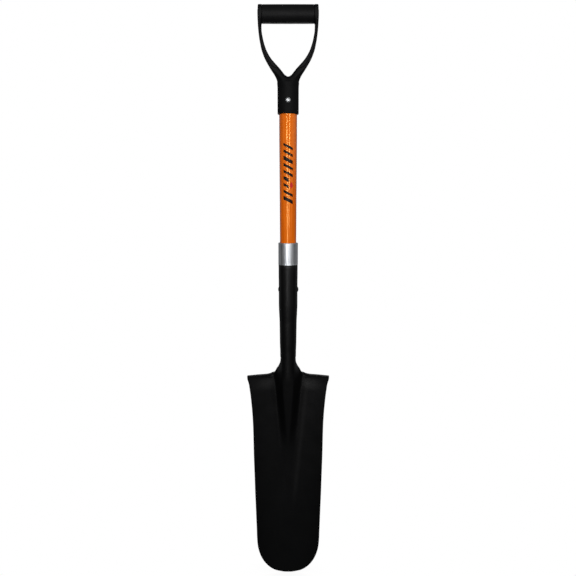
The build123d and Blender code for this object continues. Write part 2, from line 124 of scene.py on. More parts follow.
def spline(points, step, ends=None):
    """Points step apart on a centripetal Catmull-Rom curve; ends are its two outer controls."""
    p = np.array(points, float)
    p_ext = np.vstack([2 * p[0] - p[1], p, 2 * p[-1] - p[-2]])
    if ends is not None:
        p_ext[0], p_ext[-1] = ends
    out = []
    for i in range(1, len(p_ext) - 2):
        a, b, c, d = p_ext[i - 1:i + 3]
        ta = 0.0
        tb = ta + max(np.linalg.norm(b - a), 1e-9) ** 0.5
        tc = tb + max(np.linalg.norm(c - b), 1e-9) ** 0.5
        td = tc + max(np.linalg.norm(d - c), 1e-9) ** 0.5
        count = max(2, int(np.linalg.norm(c - b) / 0.15))
        t = np.linspace(tb, tc, count, endpoint=False)[:, None]
        a1 = (tb - t) / (tb - ta) * a + (t - ta) / (tb - ta) * b
        a2 = (tc - t) / (tc - tb) * b + (t - tb) / (tc - tb) * c
        a3 = (td - t) / (td - tc) * c + (t - tc) / (td - tc) * d
        b1 = (tc - t) / (tc - ta) * a1 + (t - ta) / (tc - ta) * a2
        b2 = (td - t) / (td - tb) * a2 + (t - tb) / (td - tb) * a3
        out.append((tc - t) / (tc - tb) * b1 + (t - tb) / (tc - tb) * b2)
    return resample(np.vstack(out + [p[-1:]]), step)


def rise(value, start, span):
    """Smooth step from 0 at start to 1 at start + span."""
    t = np.clip((value - start) / span, 0, 1)
    return t * t * (3 - 2 * t)


def soft_min(a, b, blend):
    h = np.maximum(blend - np.abs(a - b), 0) / blend
    return np.minimum(a, b) - h * h * blend / 4


def soft_max(a, b, blend):
    return -soft_min(-a, -b, blend)


def look_up(stations, z):
    return np.interp(z, *np.transpose(stations))


def smooth_table(stations, width, low, high):
    """A function through stations, blurred over width so that its slope has no steps."""
    z = np.linspace(low, high, 2000)
    count = int(width / (z[1] - z[0])) | 1
    weights = np.hanning(count + 2)[1:-1]
    weights /= weights.sum()
    padded = np.pad(look_up(stations, z), count // 2, mode="edge")
    values = np.convolve(padded, weights, mode="valid")
    return lambda q: np.interp(q, z, values)


def polygon_distance(polygon, points):
    """Distance from each point to the polygon, negative inside."""
    a, b = polygon, np.roll(polygon, -1, 0)
    side = b - a
    square = np.maximum((side ** 2).sum(1), 1e-12)
    drop = np.where(np.abs(side[:, 1]) < 1e-12, 1e-12, side[:, 1])
    out = np.empty(len(points))
    for i in range(0, len(points), 4000):
        q = points[i:i + 4000, None]
        w = q - a
        t = np.clip((w * side).sum(-1) / square, 0, 1)
        near = np.sqrt(((w - t[..., None] * side) ** 2).sum(-1)).min(1)
        x, y = q[..., 0], q[..., 1]
        crossed = ((a[:, 1] > y) != (b[:, 1] > y)) & (
            x < side[:, 0] * (y - a[:, 1]) / drop + a[:, 0])
        out[i:i + 4000] = np.where(crossed.sum(1) % 2 == 1, -near, near)
    return out


# ------------------------------------------------------------------ meshes
def set_normals(mesh, normals):
    mesh.normals_split_custom_set_from_vertices(unit(np.asarray(normals, float)).tolist())


def make_mesh(name, verts, faces, normals):
    """A smooth object from points in millimetres, with one given normal per point."""
    mesh = bpy.data.meshes.new(name)
    faces = [list(map(int, face)) for face in faces]
    mesh.from_pydata((np.asarray(verts, float) * MM).tolist(), [], faces)
    mesh.polygons.foreach_set("use_smooth", np.ones(len(mesh.polygons), bool))
    mesh.update()
    set_normals(mesh, normals)
    ob = bpy.data.objects.new(name, mesh)
    bpy.context.scene.collection.objects.link(ob)
    return ob


def grid_quads(rows, width, start):
    """Quads of a regular grid of points, width points to a row."""
    corners = [start + j * width + i for j in range(rows - 1) for i in range(width - 1)]
    return [[p, p + 1, p + 1 + width, p + width] for p in corners]


def rounded_profile(stations):
    """Points and outward normals of a polyline of (radius, height, corner rounding).

    The material is on the left of the way the polyline runs, so its normals point right.
    A corner rounded by 0 is sharp and gets two points.
    """
    corners = [np.array(station[:2], float) for station in stations]
    sides = []
    for a, b in zip(corners, corners[1:]):
        along = (b - a) / np.linalg.norm(b - a)
        sides.append(np.array([along[1], -along[0]]))
    points, normals = [], []
    for i, corner in enumerate(corners):
        before = sides[max(i - 1, 0)]
        if i in (0, len(corners) - 1):
            points.append(corner)
            normals.append(before)
            continue
        after, radius = sides[i], stations[i][2]
        turn = math.acos(max(-1, min(1, float(before @ after))))
        if radius <= 0 or turn < 1e-3:
            points += [corner, corner]
            normals += [before, after]
            continue
        along = np.array([-before[1], before[0]])
        convex = before[0] * after[1] - before[1] * after[0] > 0
        reach = radius if convex else -radius
        centre = corner - along * (radius * math.tan(turn / 2)) - before * reach
        for k in range(7):
            angle = turn * k / 6
            n = (before * math.sin(turn - angle) + after * math.sin(angle)) / math.sin(turn)
            points.append(centre + n * reach)
            normals.append(n)
    return np.array(points), np.array(normals)


# axis of a turned piece: (which of its columns become x, y, z; their signs)
LATHE_AXES = {"Z": ([0, 1, 2], [1, 1, 1]), "X": ([2, 0, 1], [1, 1, 1]),
              "Y": ([1, 2, 0], [1, 1, 1]), "-Y": ([0, 2, 1], [1, -1, 1])}


def lathe(name, profile, segments, axis="Z", height=0):
    """Surface of revolution from (points, normals), each (radius, height)."""
    points, _ = profile
    angles = np.linspace(0, math.tau, segments, endpoint=False)
    columns, signs = LATHE_AXES[axis]

    def revolve(p):
        around = np.stack([np.outer(p[:, 0], np.cos(angles)), np.outer(p[:, 0], np.sin(angles)),
                           np.repeat(p[:, 1:2], segments, 1)], -1)
        return around.reshape(-1, 3)[:, columns] * signs

    verts, normals = map(revolve, profile)
    faces = []
    for i in range(len(points) - 1):
        if np.linalg.norm(points[i + 1] - points[i]) < 1e-7:
            continue
        low, high = i * segments, (i + 1) * segments
        for j in range(segments):
            k = (j + 1) % segments
            face = [low + j, high + j, high + k, low + k]
            if points[i, 0] < 1e-6:
                face = [low, high + j, high + k]
            elif points[i + 1, 0] < 1e-6:
                face = [low + j, high, low + k]
            faces.append(face[::-1])
    used = np.unique(np.concatenate(faces))
    new_index = np.zeros(len(verts), int)
    new_index[used] = np.arange(len(used))
    verts, normals = verts[used], normals[used]
    faces = [new_index[face] for face in faces]
    ob = make_mesh(name, verts + np.array([0.0, 0.0, height]), faces, normals)
    # turn the faces round if they point against the normals
    mesh = ob.data
    face = mesh.polygons[len(mesh.polygons) // 2]
    if face.normal.dot(sum((Vector(normals[i]) for i in face.vertices), Vector())) < 0:
        mesh.flip_normals()
        set_normals(mesh, normals)
    return ob


# ------------------------------------------------------------------ front surface of the sheet
def dish_back(z):
    """y of the dished blade on its middle line."""
    k = 1 - np.clip(z / STEP_Z, 0, 1)
    return 9 - 17 * k ** 1.2


def dish(x, z):
    radius = 168 + 45 * np.clip(z / STEP_Z, 0, 1)
    return dish_back(z) - (radius - np.sqrt(radius * radius - x * x))


def rib_scale(z):
    """1 where the socket meets the blade, 0 where the rib dies into the dish."""
    return np.clip((z - RIB_Z0) / (RIB_Z1 - RIB_Z0), 0, 1) ** 0.85


def rib(x, z):
    """Front of the rib: a low rounded crest with straight flanks, fading towards its tip."""
    scale = np.maximum(rib_scale(z), 0.02)
    side = np.abs(x)
    height = RIB_HEIGHT * rise(scale, 0.28, 0.85)
    slope = 0.06 + 1.79 * rise(scale, 0.30, 0.65)
    flank = (side - (RIB_HALF * scale - height / slope)) * slope
    low = dish_back(z) - height + soft_max(side * side / 90.0, flank, 4.0 * scale + 0.6)
    # higher up: the round front of the tube, carried on straight beyond the tangent x
    tangent_x = TUBE_R * (0.80 + 0.185 * rise(z, 397, 26))
    tangent_y = np.sqrt(TUBE_R * TUBE_R - tangent_x * tangent_x)
    tube = np.where(side < tangent_x, np.sqrt(np.maximum(TUBE_R * TUBE_R - side * side, 1e-9)),
                    tangent_y - tangent_x / tangent_y * (side - tangent_x))
    blend = rise(z, 372, 30)
    return low * (1 - blend) + (dish_back(z) - 9 - tube) * blend


def front(x, z):
    """y of the sheet's front."""
    scale = rib_scale(z)
    side = np.abs(x)
    # a shallow crease runs along each side of the rib
    crease = 0.8 * rise(scale, 0, 0.15) * (1 - rise(z, 388, 22)) * np.exp(
        -((side - 24.5 * scale - 2.0) / (3.4 + 3.2 * scale)) ** 2)
    y = soft_min(rib(x, z), dish(x, z) + crease, 6.5 * scale + 1.0)
    # the wings lean back a little before they turn over into the steps
    lean = rise(side, 20, 18) * (1 - 0.45 * rise(side, 50, 24))
    return y + 1.8 * lean * rise(z, 362, 26)


def front_normal(x, z):
    e = 0.25
    slope_x = (front(x + e, z) - front(x - e, z)) / (2 * e)
    slope_z = (front(x, z + e) - front(x, z - e)) / (2 * e)
    return unit(np.stack([slope_x, -np.ones_like(slope_x), slope_z], -1))


# ------------------------------------------------------------------ rows and edges of the sheet
WING_HALF = look_up(BLADE_W, CORNER_Z) - RIM
socket_r = smooth_table(SOCKET_R, 6.0, 400, 640)
flare_curve = spline([(x, z) for z, x in [(392.4, 33.0)] + FLARE_W + [(432, 14.5)]], 0.25)


def half_row(z, edge):
    """Evenly spaced (x, y) on the sheet's front, from the middle to edge."""
    x = np.linspace(0, edge, 600)
    return resample(np.stack([x, front(x, np.full_like(x, z))], 1), count=ROW_HALF + 1)


def full_row(half, z):
    full = np.vstack([half[:0:-1] * [-1, 1], half])
    return np.column_stack([full, np.full(len(full), z)])


def tube_row(z):
    """Row round the tube above TUBE_Z, open at the back."""
    if z < 598.8:
        radius = float(socket_r(z))
    else:
        radius = SHOULDER_R if z < 600.0 else NECK_R
    end = math.pi - math.asin(min(1, look_up(SEAM_GAP, z) / radius))
    angle = np.linspace(0, end, ROW_HALF + 1)
    half = np.stack([radius * np.sin(angle), -radius * np.cos(angle)], 1)
    if z < TUBE_Z + 7:
        blend = float(rise(z, TUBE_Z, 7))
        edge = np.interp(TUBE_Z, flare_curve[:, 1], flare_curve[:, 0]) - RIM
        half = (1 - blend) * half_row(TUBE_Z, edge) + blend * half
    return full_row(half, z)


def grid_heights():
    heights = [GRID_Z]
    while heights[-1] < TUBE_TOP:
        z = heights[-1]
        after = z + (1.3 if z < 445 else 2.5 if z < 500 else 1.6 if z < 530 else 4.0)
        # a row on each side of the small shoulder under the collar
        for mark in (599.3, 600.7):
            if z < mark < after + 0.8:
                after = mark
                break
        heights.append(min(after, TUBE_TOP))
    return heights


def side_edge():
    """(x, z) of the right edge, inset by the rim, from the tip to below the step."""
    side = spline([(0, 0), (8.5, 0.35)] + [(w, z) for z, w in BLADE_W], 0.5,
                  ends=((-8.5, 0.35), (78.2, 397)))
    along = unit(np.gradient(side, axis=0))
    inset = side + RIM * np.column_stack([-along[:, 1], along[:, 0]])
    inset[0, 0] = 0
    return resample(inset[inset[:, 1] < CORNER_Z - 0.8], 1.5)


def top_edge():
    """Right upper edge: in along the step, round the inner corner and up the flare.

    Returns the line where the edge starts to turn back, the outward direction in x and z,
    and how fully it turns, from 1 at the step to 0 on the flare.
    """
    inner = [(44, STEP_Z), (40, STEP_Z + 0.1), (35.8, STEP_Z + 0.6), (32.2, STEP_Z + 2.1)]
    corner = spline(inner + [(w, z) for z, w in FLARE_W], 0.25,
                    ends=((50, STEP_Z), (TUBE_R, 428)))
    tread = resample(np.array([[WING_HALF, STEP_Z], [44, STEP_Z]]), 0.25)
    outline = np.vstack([tread[:-1], corner])
    along = unit(np.gradient(outline, axis=0))
    outward = np.column_stack([-along[:, 1], along[:, 0]])
    outward *= np.sign(outward[:, 1:2] + 1e-9)
    s = arc_length(outline)
    fade_start = s[np.argmin(np.abs(outline[:, 0] - 37) + 10 * (outline[:, 1] > STEP_Z + 0.3))]
    fade_end = s[np.argmin(np.abs(outline[:, 1] - 411))]
    fade = 1 - rise(s, fade_start, fade_end - fade_start)
    inset = np.maximum(BEND * fade, RIM * np.clip(1 - fade * 6, 0, 1))
    return outline - outward * inset[:, None], outward, fade


def staggered_points(x0, x1, z0, z1, pitch):
    """Points in offset rows between x0 and x1, on both sides of the middle."""
    out = []
    for j, z in enumerate(np.arange(z0, z1 + 1e-6, pitch * 0.87)):
        for x in np.arange(0 if j % 2 == 0 else pitch / 2, x1, pitch):
            if x >= x0:
                out.append((x, z))
                if x > 1e-9:
                    out.append((-x, z))
    return out


def flat_sheet(side, low, top_row):
    """Blade below the grid, triangulated between its edges."""
    loop = np.vstack([side, low[:-1], top_row[::-1][:, [0, 2]],
                      low[-2::-1] * [-1, 1], side[:0:-1] * [-1, 1]])
    inner = np.array(staggered_points(0, 34, 204, GRID_Z - 0.8, 1.7)
                     + staggered_points(0, 34, 2, 203.0, 2.6)
                     + staggered_points(34.4, 80, 2, CORNER_Z, 2.6))
    inner = inner[polygon_distance(loop, inner) < -0.95]
    borders = [(i, (i + 1) % len(loop)) for i in range(len(loop))]
    result = delaunay_2d_cdt([Vector(p) for p in np.vstack([loop, inner])], borders, [], 1, 1e-7)
    xz = np.array([tuple(p) for p in result[0]])
    faces = []
    for face in map(list, result[2]):
        a, b, c = xz[face]
        area = (b[0] - a[0]) * (c[1] - a[1]) - (b[1] - a[1]) * (c[0] - a[0])
        # the front faces -Y: counter-clockwise in x, z
        faces.append(face if area > 0 else face[::-1])
    x, z = xz.T
    return np.column_stack([x, front(x, z), z]), front_normal(x, z), faces


def grid_normals(grid, heights):
    heights = np.array(heights)
    index = np.arange(len(heights))
    above, below = np.minimum(index + 1, len(heights) - 1), np.maximum(index - 1, 0)
    along = (grid[above] - grid[below]) / (heights[above] - heights[below])[:, None, None]
    return unit(np.cross(np.gradient(grid, axis=1), along))


def turned_edge(foot, outward, fade):
    """Rows of points over the bend and back along the step, starting on the line foot."""
    x, z = foot[:, 0], foot[:, 1]
    start = np.column_stack([x, front(x, z), z])
    normal = front_normal(x, z)
    out = np.column_stack([outward[:, 0], np.zeros(len(outward)), outward[:, 1]])
    out -= (out * normal).sum(1, keepdims=True) * normal
    out = unit(out)
    back = -normal
    level = fade[:, None]
    straight = rise(foot[:, :1], 36, 36)
    level_back = back * [1, 1, 0] * (1 - straight) + np.array([0, 1.0, 0]) * straight
    back = unit(back * (1 - level) + level_back * level)
    up = out * (1 - level) + np.array([0, 0, 1.0]) * level
    up -= (up * back).sum(1, keepdims=True) * back
    up = unit(up)
    bend = BEND * fade
    rows = [start]
    for angle in np.linspace(0, math.pi / 2, 9)[1:]:
        rows.append(start + up * (bend * math.sin(angle))[:, None]
                    + back * (bend * (1 - math.cos(angle)))[:, None])
    flat = (FLANGE - BEND - RIM) * fade
    for part in (0.25, 0.5, 0.75, 1.0):
        rows.append(start + up * bend[:, None] + back * (bend + flat * part)[:, None])
    rows = np.array(rows)
    # the step's ends carry on the flare of the wings
    carry = np.concatenate([np.linspace(0, 1, 9), np.linspace(1.05, 1.2, 4)])
    widen = rise(x, 56, WING_HALF - 56) * (BLADE_W[-1][1] - RIM - WING_HALF)
    rows[:, :, 0] += carry[:, None] * widen[None]
    return rows


def weld(verts, normals, known, faces):
    """Joins points that share a place; where no normal is known, the faces give it."""
    key = np.round(verts / 0.004).astype(np.int64)
    _, first, inverse = np.unique(key, axis=0, return_index=True, return_inverse=True)
    order = np.argsort(first)
    rank = np.empty_like(order)
    rank[order] = np.arange(len(order))
    inverse = rank[inverse.reshape(-1)]
    first = first[order]
    given = np.zeros((len(first), 3))
    has_given = np.zeros(len(first), bool)
    np.add.at(given, inverse[known], normals[known])
    has_given[inverse[known]] = True
    verts = verts[first]
    kept = []
    from_faces = np.zeros((len(verts), 3))
    for face in faces:
        face = [int(inverse[i]) for i in face]
        face = [v for i, v in enumerate(face) if v != face[i - 1]]
        if len(set(face)) < 3:
            continue
        kept.append(face)
        p = verts[face]
        if len(face) == 4:
            cross = np.cross(p[2] - p[0], p[3] - p[1])
        else:
            cross = np.cross(p[1] - p[0], p[2] - p[0])
        for i in face:
            from_faces[i] += cross
    return verts, kept, unit(np.where(has_given[:, None], given, unit(from_faces)))


def build_sheet():
    base, outward, fade = top_edge()
    # the part of the base line below the grid belongs to the flat sheet
    split = int(np.argmax(base[:, 1] >= GRID_Z))
    s = arc_length(base[:split + 1])
    marks = np.linspace(0, s[-1], int(s[-1] / 1.6))
    knots = np.array([np.argmin(np.abs(s - mark)) for mark in marks])
    knots[-1] = split
    low = base[knots]
    heights = grid_heights()
    edge_x, edge_z = base[split - 3:].T
    grid = np.array([full_row(half_row(z, np.interp(z, edge_z, edge_x)), z) if z <= TUBE_Z
                     else tube_row(z) for z in heights])
    low[-1] = grid[0, -1, 0], GRID_Z

    verts, normals, faces = flat_sheet(side_edge(), low, grid[0])
    faces += grid_quads(len(grid), grid.shape[1], len(verts))
    verts = np.vstack([verts, grid.reshape(-1, 3)])
    normals = np.vstack([normals, grid_normals(grid, heights).reshape(-1, 3)])
    known_count = len(verts)

    raised = [j for j, z in enumerate(heights) if GRID_Z < z <= 411.5]
    foot = np.vstack([low, grid[raised, -1][:, [0, 2]]])
    below = 1e3 * (np.arange(len(base)) < split)
    upper = [np.argmin(np.abs(base[:, 1] - heights[j]) + below) for j in raised]
    knots = np.concatenate([knots, upper])
    foot_fade = fade[knots]
    foot_fade[-1] = 0
    rows = turned_edge(foot, outward[knots], foot_fade)
    for side in (1, -1):
        quads = grid_quads(rows.shape[0], rows.shape[1], len(verts))
        faces += [quad[::-1] for quad in quads] if side > 0 else quads
        verts = np.vstack([verts, (rows * [side, 1, 1]).reshape(-1, 3)])
    normals = np.vstack([normals, np.zeros((len(verts) - known_count, 3))])
    return weld(verts, normals, np.arange(len(verts)) < known_count, faces)


def thicken(verts, faces, normals, steps=6, power=2.6):
    """Closed sheet: front as given, back at SHEET behind it, edges rounded out by RIM."""
    count = len(verts)
    edge_uses = {}
    for index, face in enumerate(faces):
        for i, a in enumerate(face):
            b = face[(i + 1) % len(face)]
            edge_uses.setdefault((min(a, b), max(a, b)), []).append((index, a, b))
    rim_edges = [uses[0] for uses in edge_uses.values() if len(uses) == 1]
    outward = np.zeros((count, 3))
    for index, a, b in rim_edges:
        along = verts[b] - verts[a]
        length = np.linalg.norm(along)
        if length < 1e-9:
            continue
        out = np.cross(along / length, unit(normals[a] + normals[b]))
        if out @ (verts[list(faces[index])].mean(0) - (verts[a] + verts[b]) / 2) > 0:
            out = -out
        outward[a] += out
        outward[b] += out
    rim = np.where(np.linalg.norm(outward, axis=1) > 1e-6)[0]
    rim_out, rim_normal = unit(outward[rim]), normals[rim]
    place = -np.ones(count, int)
    place[rim] = np.arange(len(rim))
    all_verts = [verts, verts - normals * SHEET]
    all_normals = [normals, -normals]
    for k in range(1, steps):
        phi = math.pi * k / steps
        c, s = math.cos(phi), math.sin(phi)
        across = (1 - math.copysign(abs(c) ** (2 / power), c)) / 2
        all_verts.append(verts[rim] - rim_normal * (SHEET * across)
                         + rim_out * (RIM * s ** (2 / power)))
        lean = math.copysign(abs(c) ** (2 - 2 / power), c)
        all_normals.append(unit(rim_normal * (lean * RIM)
                                + rim_out * (s ** (2 - 2 / power) * SHEET / 2)))

    def ring(k, i):
        if k == 0:
            return i
        if k == steps:
            return i + count
        return 2 * count + (k - 1) * len(rim) + place[i]

    out = [list(face) for face in faces]
    out += [[i + count for i in reversed(face)] for face in faces]
    for _, a, b in rim_edges:
        for k in range(steps):
            out.append([ring(k, b), ring(k, a), ring(k + 1, a), ring(k + 1, b)])
    return np.vstack(all_verts), out, np.vstack(all_normals)


blade = make_mesh("blade_sheet", *thicken(*build_sheet()))

# ------------------------------------------------------------------ D handle, a distance field
FIELD_CELL = 0.35
FIELD_X = np.arange(-2, 58, FIELD_CELL)
FIELD_Z = np.arange(856, 1048, FIELD_CELL)


def cubic_weights(t):
    return [(-t + 2 * t * t - t ** 3) / 2, (2 - 5 * t * t + 3 * t ** 3) / 2,
            (t + 4 * t * t - 3 * t ** 3) / 2, (-t * t + t ** 3) / 2]


def outline_field(polygon):
    """Smooth distance to the polygon in x, z: Catmull-Rom look-ups in a regular grid."""
    grid_x, grid_z = np.meshgrid(FIELD_X, FIELD_Z, indexing="ij")
    values = polygon_distance(polygon, np.stack([grid_x.ravel(), grid_z.ravel()], 1))
    values = values.reshape(grid_x.shape)

    def distance(x, z):
        across = np.clip((x - FIELD_X[0]) / FIELD_CELL, 1, values.shape[0] - 3.001)
        up = np.clip((z - FIELD_Z[0]) / FIELD_CELL, 1, values.shape[1] - 3.001)
        ix, iz = across.astype(int), up.astype(int)
        weights_x, weights_z = cubic_weights(across - ix), cubic_weights(up - iz)
        out = 0
        for i in range(4):
            for j in range(4):
                out = out + weights_x[i] * weights_z[j] * values[ix + i - 1, iz + j - 1]
        return out

    return distance


def yoke_outline(inner):
    right = np.vstack([[(0, 896.0), (HANDLE_R, 896.0), (HANDLE_R, 908.0)], spline(ARM_OUT, 0.5),
                       [(BAR_HALF, 1030.0), (45.5, 1030.0)], inner[::-1]])
    return np.vstack([right, right[1:-1][::-1] * [-1, 1]])


# start on the mirrored points so that the crotch is smooth across the middle
inner_arm = spline([(-x, z) for x, z in ARM_IN[2:0:-1]] + ARM_IN, 0.5)
inner_arm = inner_arm[inner_arm[:, 0] >= 0]
inner_arm[0, 0] = 0
arm_field = outline_field(yoke_outline(inner_arm))
opening_field = outline_field(np.vstack([[(-1, inner_arm[0, 1])], inner_arm,
                                         [(inner_arm[-1, 0], 1060.0), (-1, 1060.0)]]))
arm_depth = smooth_table(ARM_DEPTH, 12.0, 850, 1050)
foot_r = smooth_table(FOOT, 6.0, 850, 1050)


def round_box(dx, dy, radius):
    """Joins two one-way distances into a solid whose edge is rounded by radius."""
    outside = np.hypot(np.maximum(dx + radius, 0), np.maximum(dy + radius, 0))
    return outside + np.minimum(np.maximum(dx + radius, dy + radius), 0) - radius


def yoke_distance(p):
    x, y, z = np.abs(p[:, 0]), np.abs(p[:, 1]), p[:, 2]
    from_axis = np.hypot(p[:, 0], p[:, 1])
    from_bar = np.hypot(y, z - BAR_Z)
    arm = arm_field(x, z)
    depth = arm_depth(z)
    body = round_box(arm, y - depth, ARM_ROUND)
    # shallow channel between the arms' two rims, front and back
    channel = soft_max(arm + 2.7, 930.5 - z + 0.35 * x, 2.0)
    channel = soft_max(channel, (depth - 1.9) - y, 1.7)
    body = soft_max(body, -channel, 1.7)
    # a bevel runs round the inside edge of the arms and the crotch
    bevel = (y - depth + (3.6 - opening_field(x, z)) * 0.9) * 0.743
    body = soft_max(body, bevel, 1.6)
    body = soft_max(body, (from_axis - foot_r(z)) * 0.85, 2.5)
    from_middle = np.abs(z - (HANDLE_Z0 + HANDLE_Z1) / 2)
    socket = round_box(from_axis - HANDLE_R, from_middle - (HANDLE_Z1 - HANDLE_Z0) / 2, 1.1)
    body = soft_min(body, socket, 2.6)
    cheek = round_box(from_bar - (BAR_R + 0.3),
                      np.abs(x - (BAR_HALF - CHEEK / 2)) - CHEEK / 2, 1.3)
    body = soft_min(body, cheek, 1.6)
    # core inside the grip
    body = np.minimum(body, np.maximum(from_bar - 10.6, x - (BAR_HALF - 1)))
    # mould parting line round the middle plane
    body = body + 0.10 * np.exp(-(p[:, 1] / 0.55) ** 2) * rise(z, 925, 20)
    # bore for the shaft, with a small lead-in
    lead_in = 0.9 * np.clip((HANDLE_Z0 + 1.2 - z) / 1.2, 0, 1)
    bore = np.maximum(from_axis - BORE_R - lead_in, z - 915.5)
    body = soft_max(body, -bore, 0.35)
    # seats for the rivet head in front and the washer at the back
    for sign, radius in ((-1, 4.75), (1, 5.35)):
        seat = np.maximum(np.hypot(p[:, 0], z - HANDLE_RIVET_Z) - radius,
                          (HANDLE_R - 0.6) - sign * p[:, 1])
        body = soft_max(body, -seat, 0.3)
    return body


def surface_nets(field, low, high, cell):
    """Quads round the zero level of the field, one point per cell that it crosses."""
    axes = [np.arange(low[k], high[k] + cell, cell) for k in range(3)]
    shape = tuple(len(axis) for axis in axes)
    values = np.empty(shape)
    grid_x, grid_y = np.meshgrid(axes[0], axes[1], indexing="ij")
    for k, z in enumerate(axes[2]):
        layer = np.stack([grid_x.ravel(), grid_y.ravel(), np.full(grid_x.size, z)], 1)
        values[:, :, k] = field(layer).reshape(grid_x.shape)
    inside = values < 0
    corners = [(i, j, k) for i in (0, 1) for j in (0, 1) for k in (0, 1)]
    nx, ny, nz = shape
    count = sum(inside[i:nx - 1 + i, j:ny - 1 + j, k:nz - 1 + k].astype(np.int8)
                for i, j, k in corners)
    mixed = (count > 0) & (count < 8)
    cells = np.argwhere(mixed)
    index = -np.ones(mixed.shape, np.int64)
    index[mixed] = np.arange(len(cells))
    # each point is the mean of the crossings on its cell's edges
    total, crossings = np.zeros((len(cells), 3)), np.zeros(len(cells))
    for a in corners:
        for axis in range(3):
            if a[axis]:
                continue
            b = list(a)
            b[axis] = 1
            at_a, at_b = (values[tuple((cells + corner).T)] for corner in (a, b))
            crossed = (at_a < 0) != (at_b < 0)
            t = np.where(crossed, at_a / np.where(crossed, at_a - at_b, 1), 0)
            p = np.array(a, float) + t[:, None] * (np.array(b, float) - np.array(a, float))
            total[crossed] += p[crossed]
            crossings[crossed] += 1
    verts = np.array([axis[0] for axis in axes]) + cell * (cells + total / crossings[:, None])
    faces = []
    for axis in range(3):
        u, w = (axis + 1) % 3, (axis + 2) % 3
        near, far = [slice(1, -1)] * 3, [slice(1, -1)] * 3
        near[axis] = slice(0, shape[axis] - 1)
        far[axis] = slice(1, shape[axis])
        starts, ends = inside[tuple(near)], inside[tuple(far)]
        leaving = starts[starts != ends]
        offset = np.array([1, 1, 1])
        offset[axis] = 0
        edges = np.argwhere(starts != ends) + offset
        quads = []
        for du, dw in ((-1, -1), (0, -1), (0, 0), (-1, 0)):
            c = edges.copy()
            c[:, u] += du
            c[:, w] += dw
            quads.append(index[tuple(c.T)])
        quads = np.stack(quads, 1)
        quads[~leaving] = quads[~leaving][:, ::-1]
        faces.append(quads)
    return verts, np.vstack(faces)


def gradient(field, points, e):
    out = np.empty_like(points)
    for k in range(3):
        shift = np.zeros(3)
        shift[k] = e
        out[:, k] = (field(points + shift) - field(points - shift)) / (2 * e)
    return out


def field_mesh(name, field, low, high, cell):
    verts, faces = surface_nets(field, low, high, cell)
    # pull the points onto the surface
    for _ in range(3):
        slope = gradient(field, verts, 0.12)
        move = np.clip(field(verts), -cell / 2, cell / 2)[:, None]
        verts = verts - move * slope / np.maximum((slope ** 2).sum(1, keepdims=True), 0.2)
    return make_mesh(name, verts, faces, gradient(field, verts, 0.4))


yoke = field_mesh("handle_yoke", yoke_distance, *YOKE_BOX, YOKE_CELL)

# ------------------------------------------------------------------ turned pieces
# Profiles are (radius, height, corner rounding).
BARE = 0.0001  # rounding that only smooths the normals
GRIP_HALF = BAR_HALF - CHEEK - 0.15
GRIP_BORE_R, GRIP_CROWN = 11.2, 0.12
SHAFT_R0, SHAFT_R1 = 14.42, 15.4  # below and above the taper
TAPER_Z0, TAPER_Z1 = 643, 826
SHAFT_Z0, SHAFT_Z1, SHAFT_BORE_R = 516.2, 914.6, 11.0


def shaft_r(z):
    return SHAFT_R0 + (SHAFT_R1 - SHAFT_R0) * np.clip((z - TAPER_Z0) / (TAPER_Z1 - TAPER_Z0), 0, 1)


# grip: a moulded sleeve with faint crown and soft ends
grip_profile = [(GRIP_BORE_R, -GRIP_HALF, 0), (BAR_R, -GRIP_HALF, 0.7)]
grip_profile += [(BAR_R + GRIP_CROWN * (1 - (x / GRIP_HALF) ** 2), x, BARE)
                 for x in np.linspace(-GRIP_HALF + 3, GRIP_HALF - 3, 25)]
grip_profile += [(BAR_R, GRIP_HALF, 0.7), (GRIP_BORE_R, GRIP_HALF, 0)]
grip = lathe("grip_sleeve_moulded", rounded_profile(grip_profile), 160, "X", BAR_Z)

shaft_profile = [(SHAFT_BORE_R, SHAFT_Z0, 0), (SHAFT_R0, SHAFT_Z0, 0.4),
                 (SHAFT_R0, TAPER_Z0, BARE)]
shaft_profile += [(shaft_r(z), z, BARE) for z in (700, 760, TAPER_Z1)]
shaft_profile += [(SHAFT_R1, SHAFT_Z1, 0.4), (SHAFT_BORE_R, SHAFT_Z1, 0.2),
                  (SHAFT_BORE_R, SHAFT_Z0, 0)]
shaft = lathe("shaft_fibreglass", rounded_profile(shaft_profile), 192)

# collar: drawn cup with a rolled mouth and a fine bead at its foot
COLLAR = [(14.95, 637.1, 0), (15.45, 637.1, 0), (15.9, 638.7, 0), (16.66, 638.3, 0),
          (16.66, 600.8, 0), (17.62, 600.8, 0.12), (17.62, 601.7, 0.12), (17.45, 602.2, 0.25),
          (17.45, 638.5, 0), (17.45, 639.8, 0.9), (16.1, 640.5, 0.9), (14.95, 639.4, 0.8),
          (14.95, 637.1, 0)]
collar = lathe("collar_drawn", rounded_profile(COLLAR), 192)


def dome(radius, height, z, up):
    """Arc of a low dome from its rim to its top (up=1) or from its top to its rim (up=-1)."""
    sphere = (radius * radius + height * height) / (2 * height)
    widest = math.asin(min(1, radius / sphere))
    points, normals = [], []
    for k in range(15):
        angle = widest * (1 - k / 14)
        y = height - sphere + sphere * math.cos(angle)
        points.append(np.array([sphere * math.sin(angle), z + up * y]))
        normals.append(np.array([math.sin(angle), up * math.cos(angle)]))
    points[-1][0] = 0
    return points[::up], normals[::up]


